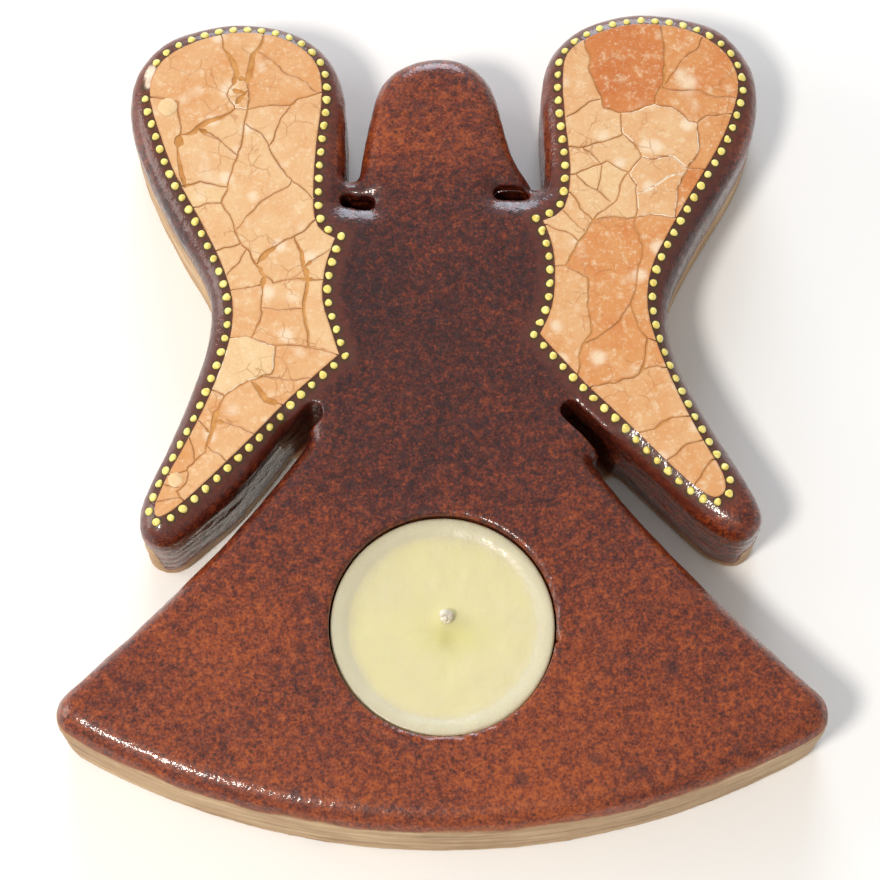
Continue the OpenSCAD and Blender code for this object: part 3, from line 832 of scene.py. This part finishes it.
def add_fragment(mesh, polygon, bottom, top, tone, wing, chalk, rng):
    """One fragment of shell: a thin plate with a softened upper edge and a slight tilt.

    A ring's distance is how far it lies inside the crack's edge, and its drop is its height from
    the top. The first ring, at the bottom, has no drop.
    """
    outline = finely(polygon)
    freedom = smoothstep(0.3, 3.0, bed_distance(wing, outline[:, 0], outline[:, 1]))
    width = HAIRLINE / 2 + 0.06 * np.abs(noise_at(np.column_stack([outline, outline[:, 0]]), 2.5, 2))
    width = width + opening(outline, WEDGES[wing])
    outline = wandering(outline, freedom)
    ahead = np.roll(outline, -1, 0) - np.roll(outline, 1, 0)
    inward = np.stack([-ahead[:, 1], ahead[:, 0]], 1)
    inward /= np.maximum(np.linalg.norm(inward, axis=1), 0.05)[:, None]
    room = 0.8 * room_inside(outline, inward)
    centre = outline.mean(0)
    tilt = rng.normal(0, 0.006, 2)
    rings = ((0.0, None, 1.0), (0.0, -0.05, 1.0), (0.04, -0.015, 0.8), (0.16, 0.0, 0.4), (0.45, 0.01, 0.0))
    points, edge = [], []
    for distance, drop, stain in rings:
        ring = outline + inward * (room * (1 - np.exp(-(width + distance) / room)))[:, None]
        slope = np.clip((ring - centre) @ tilt, -MOST_LEAN, MOST_LEAN)
        z = np.full(len(ring), bottom) if drop is None else top + drop + slope
        points.append(np.column_stack([ring, z]))
        edge.append(np.full(len(ring), stain))
    size = len(outline)
    mesh.add(np.concatenate(points), bridge(len(rings), size), tone=tone, edge=np.concatenate(edge),
             chalk=chalk)
    flat, triangles = filled(ring)
    slope = np.clip((flat - centre) @ tilt, -MOST_LEAN, MOST_LEAN)
    mesh.add(np.column_stack([flat, top + rings[-1][1] + slope]), triangles, tone=tone, edge=0.0, chalk=chalk)


def add_blister(mesh, centre, radius, height, bottom, tone):
    """A shallow dome of shell with an uneven rim."""
    profile = [(radius, bottom)] + [(radius * math.cos(a), bottom + height * math.sin(a) ** 0.8)
                                    for a in np.linspace(0.1, 1.5, 9)]

    def wobble(r, z, angle):
        place = Vector((centre[0] + math.cos(angle), centre[1] + math.sin(angle), 0.0))
        return r * (1 + 0.12 * noise.noise(place)), z

    points, faces = lathe(profile, centre, 40, wobble)
    edge = np.repeat([0.9, 0.5] + [0.0] * (len(profile) - 2), 40)
    mesh.add(points, faces, tone=tone, edge=edge, chalk=1.0)


def make_shell(name, wing, material):
    """One CAD piece of shell, crackled into its fragments."""
    low, _ = box_mm(name)
    tone, target, rise = SHELL_LOOKS[name]
    rng = np.random.default_rng(list(name.encode()))
    outline = max(loops_at(name, low[2] + 0.3), key=lambda loop: abs(area_of(loop)))
    if area_of(outline) < 0:
        outline = outline[::-1]
    mesh = Mesh()
    for polygon in fracture(inset(finely(outline), -JOINT_GROWTH), target, rng):
        if area_of(polygon) > SMALLEST_FRAGMENT:
            lift = rng.uniform(-0.02, 0.03)
            add_fragment(mesh, polygon, TOP - RECESS - 0.01, TOP + SHELL_TOP + rise + lift,
                         tone + rng.normal(0, 0.05), wing, float(rise > CHALKY_RISE), rng)
    if name in BLISTERS:
        centre, radius, height = BLISTERS[name]
        add_blister(mesh, centre, radius, height, TOP + SHELL_TOP, 0.05)
    return mesh.piece(name + "_fragments", material, "holder", "shell", [name])


# ---------------------------------------------------------------- dots

def make_dots(name, dots, ground, material, seed):
    """Domes of paint on the clay, each a little different."""
    rng = np.random.default_rng(seed)
    sides, rings = 18, 6
    dome_height, sunk = 0.5, 0.25
    mesh = Mesh()
    for (x, y), radius in dots:
        if in_chip(x, y) > 0.5:
            continue
        place, normal, _, _ = ground.ray_cast(Vector((x, y, TOP + 5)), Vector((0, 0, -1)))
        turn = Vector((0, 0, 1)).rotation_difference(normal).to_matrix()
        size = radius * rng.uniform(0.86, 1.06)
        height = dome_height * rng.uniform(0.85, 1.1)
        lobes, phase = rng.normal(0, 0.05, 2), rng.uniform(0, 2 * math.pi, 2)
        lean = rng.normal(0, 0.1, 2)
        points, rim = [], []
        for k in range(rings):
            rise = k / rings
            spread = math.sqrt(1 - rise ** 2.2)
            for i in range(sides):
                a = 2 * math.pi * i / sides
                r = size * spread * (1 + lobes[0] * math.sin(2 * a + phase[0])
                                     + lobes[1] * math.sin(3 * a + phase[1]))
                local = Vector((r * math.cos(a) + lean[0] * rise, r * math.sin(a) + lean[1] * rise,
                                height * rise - (sunk if k == 0 else 0.0)))
                points.append(place + turn @ local)
                rim.append(1.0 if k == 0 else 0.0)
        points.append(place + turn @ Vector((lean[0], lean[1], height * 0.97)))
        rim.append(0.0)
        faces = bridge(rings, sides) + [list(range(sides))[::-1]]
        last = (rings - 1) * sides
        faces += [[last + i, last + (i + 1) % sides, rings * sides] for i in range(sides)]
        mesh.add(np.array(points), faces, rim=np.array(rim))
    return mesh.piece(name + "_paint", material, "holder", "dot_paint", [name])


# ---------------------------------------------------------------- candle

def make_wax(material):
    """The wax as it sets: a dished middle, a fat rim, and a shallow well round the wick."""
    wick_low, wick_high = box_mm("candle_wick")
    wick = (wick_low + wick_high)[:2] / 2
    base, rim = wax_low[2], wax_high[2]
    surface = rim - 0.6
    radius = candle_radius
    profile = [(0.02, base + 0.02), (radius - 1.2, base), (radius - 0.5, base + 0.15),
               (radius - 0.1, base + 0.8), (radius, base + 2), (radius, rim - 1.2),
               (radius - 0.04, rim - 0.45), (radius - 0.2, rim - 0.12), (radius - 0.55, rim),
               (radius - 1.1, rim - 0.03), (radius - 1.8, rim - 0.14), (radius - 2.4, rim - 0.34),
               (radius - 2.9, rim - 0.55), (radius - 3.4, surface - 0.06), (radius - 4.5, surface - 0.10)]
    profile += [(r, surface - 0.10 - 0.35 * (1 - r / (radius - 4.5)) ** 1.5)
                for r in np.linspace(radius - 5.2, 0.3, 18)]

    def wobble(r, z, angle):
        place = Vector((r * math.cos(angle), r * math.sin(angle), z))
        top = 1.0 if z > surface - 0.6 else 0.0
        z += top * 0.10 * (noise.fractal(place / 5, 0.8, 2, 3) - 0.6)
        out = 0.10 * noise.noise(place / 4) if radius - 3.6 < r < radius - 0.3 else 0.0
        return r + out, z

    points, faces = lathe(profile, candle_centre, 128, wobble)
    points = np.array(points)
    away = np.linalg.norm(points[:, :2] - candle_centre, axis=1)
    from_wick = np.linalg.norm(points[:, :2] - wick, axis=1)
    upper = points[:, 2] > surface - 1
    creep = 0.25 * np.exp(-(from_wick / 1.6) ** 2)
    well = 0.12 * np.exp(-((from_wick - 3.2) / 1.5) ** 2)
    points[:, 2] += upper * (creep - well)
    rim_value = smoothstep(radius - 4.0, radius - 2.4, away)
    # Painted shadow of the wick: an oval patch 0.8 mm right of the wick and 3 mm in front of it, which the
    # material darkens and greens.
    painted_wick_shadow = np.exp(-np.sum(((points[:, :2] - wick - [0.8, -3.0]) / [5.0, 3.2]) ** 2, axis=1))
    return new_piece("candle_wax_cake", points, faces, material, "candle", ["candle_wax"],
                     {"rim": rim_value, "painted_wick_shadow": painted_wick_shadow})


def make_wick(material):
    """Three twisted strands of cotton with a frayed, waxed end."""
    low, high = box_mm("candle_wick")
    centre = (low + high)[:2] / 2
    radius = (high - low)[0] / 2
    strand, orbit = radius * 0.56, radius * 0.46
    rows, sides, turns = 60, 10, 3.2
    mesh = Mesh()
    for k in range(3):
        points = []
        for j in range(rows):
            t = j / (rows - 1)
            a = 2 * math.pi * (turns * t + k / 3)
            end = smoothstep(0.93, 1.0, t)
            bend = 0.5 * smoothstep(0.86, 1.0, t)
            z = low[2] + (high[2] - low[2] - 0.15 * k) * t
            middle = np.array([centre[0] - bend + orbit * math.cos(a) * (1 - 0.35 * end),
                               centre[1] - 0.3 * bend + orbit * math.sin(a) * (1 - 0.35 * end), z])
            size = strand * (1 - 0.55 * end ** 2)
            for i in range(sides):
                b = 2 * math.pi * i / sides
                points.append(middle + size * np.array([math.cos(b), math.sin(b), 0]))
        faces = bridge(rows, sides)
        faces += [list(range(sides))[::-1], list(range(sides * (rows - 1), sides * rows))]
        mesh.add(points, faces)
    return mesh.piece("candle_wick_strands", material, "candle", "wick", ["candle_wick"])


def make_foot(material):
    """The stamped foot: a disc with a turned-up rim and a collar crimped on the wick."""
    low, high = box_mm("wick_foot")
    centre = (low + high)[:2] / 2
    radius = (high - low)[0] / 2
    wick_low, wick_high = box_mm("candle_wick")
    hole = (wick_high - wick_low)[0] / 2
    base, top = low[2], high[2]
    profile = [(hole + 0.05, base + 0.02), (hole + 0.9, base), (radius - 0.5, base),
               (radius - 0.1, base + 0.04), (radius, base + 0.15), (radius - 0.1, base + 0.27),
               (radius - 0.6, base + 0.3), (hole + 1.6, base + 0.3), (hole + 0.8, base + 0.42),
               (hole + 0.5, base + 0.8), (hole + 0.42, base + 1.4), (hole + 0.3, base + 1.7),
               (hole + 0.42, base + 2.0), (hole + 0.46, top - 0.3), (hole + 0.4, top - 0.05),
               (hole + 0.2, top), (hole + 0.06, top - 0.1)]

    def crimp(r, z, angle):
        pressed = smoothstep(0.9, 1.5, z - base) * 0.10 * max(0.0, math.cos(4 * angle))
        return r - float(pressed), z

    points, faces = lathe(profile, centre, 64, crimp)
    faces = faces[:-2] + bridge_back(len(profile), 64)      # a tube has no end caps
    return new_piece("wick_foot_stamping", points, faces, material, "candle", ["wick_foot"])


# ---------------------------------------------------------------- camera, light and floor

CAMERA_AZIMUTH, CAMERA_ELEVATION = -0.4, 71.4   # degrees
CAMERA_DISTANCE = 450.0
CAMERA_AIM = (-0.5, -7.7, 20.0)
LENS, SENSOR = 107.1, 36.0
FLOOR_HALF = 3000.0


def direction(azimuth, elevation):
    """Unit vector from the object towards a place round it. Azimuth 0 is in front, 90 on the right."""
    a, e = math.radians(azimuth), math.radians(elevation)
    return Vector((math.sin(a) * math.cos(e), -math.cos(a) * math.cos(e), math.sin(e)))


def make_camera():
    """The camera at the viewing angle."""
    camera = bpy.data.objects.new("camera", bpy.data.cameras.new("camera"))
    camera.data.lens = LENS
    camera.data.sensor_width = SENSOR
    back = direction(CAMERA_AZIMUTH, CAMERA_ELEVATION)
    camera.location = (Vector(CAMERA_AIM) + back * CAMERA_DISTANCE) * MM
    camera.rotation_mode = "QUATERNION"
    camera.rotation_quaternion = (-back).to_track_quat("-Z", "Y")
    camera.data.clip_start, camera.data.clip_end = 0.01, 20.0
    bpy.context.scene.collection.objects.link(camera)
    bpy.context.scene.camera = camera


def add_light(name, azimuth, elevation, distance, size, power, tint):
    """A round lamp that faces the object. Its power is in watts."""
    data = bpy.data.lights.new(name, "AREA")
    data.shape, data.size, data.energy = "DISK", size * MM, power
    data.color = tint
    light = bpy.data.objects.new(name, data)
    back = direction(azimuth, elevation)
    light.location = back * distance * MM
    light.rotation_mode = "QUATERNION"
    light.rotation_quaternion = (-back).to_track_quat("-Z", "Y")
    bpy.context.scene.collection.objects.link(light)


def make_surroundings():
    """The floor, the lamps and the light of the room."""
    mesh = bpy.data.meshes.new("floor")
    corners = [(-1, -1), (1, -1), (1, 1), (-1, 1)]
    mesh.from_pydata([(x * FLOOR_HALF * MM, y * FLOOR_HALF * MM, 0.0) for x, y in corners], [],
                     [(0, 1, 2, 3)])
    mesh.materials.append(floor_finish())
    floor = bpy.data.objects.new("floor", mesh)
    bpy.context.scene.collection.objects.link(floor)
    add_light("key", -45, 59, 900, 170, 4.8, (1.0, 0.94, 0.86))
    add_light("sky", 180, 20, 1200, 700, 9, (0.78, 0.87, 1.0))
    add_light("fill", -100, 18, 1200, 700, 5, (1.0, 0.97, 0.93))
    world = bpy.data.worlds.new("studio")
    world.use_nodes = True
    room = world.node_tree.nodes["Background"].inputs
    room["Color"].default_value = (0.97, 0.96, 0.95, 1.0)
    room["Strength"].default_value = 0.5
    bpy.context.scene.world = world
    bpy.context.scene.view_settings.view_transform = "Standard"


make_camera()
make_surroundings()
dots = {node: dot_centres(node) for node in ("left_wing_dots", "right_wing_dots")}
ground = make_slab(clay_finish(), dots["left_wing_dots"] + dots["right_wing_dots"])
shell = shell_finish()
for wing, nodes in WINGS.items():
    for node in nodes:
        make_shell(node, wing, shell)
paint = paint_finish()
for seed, node in enumerate(dots):
    make_dots(node, dots[node], ground, paint, seed)
make_wax(wax_finish())
make_wick(wick_finish())
make_foot(tin_finish())
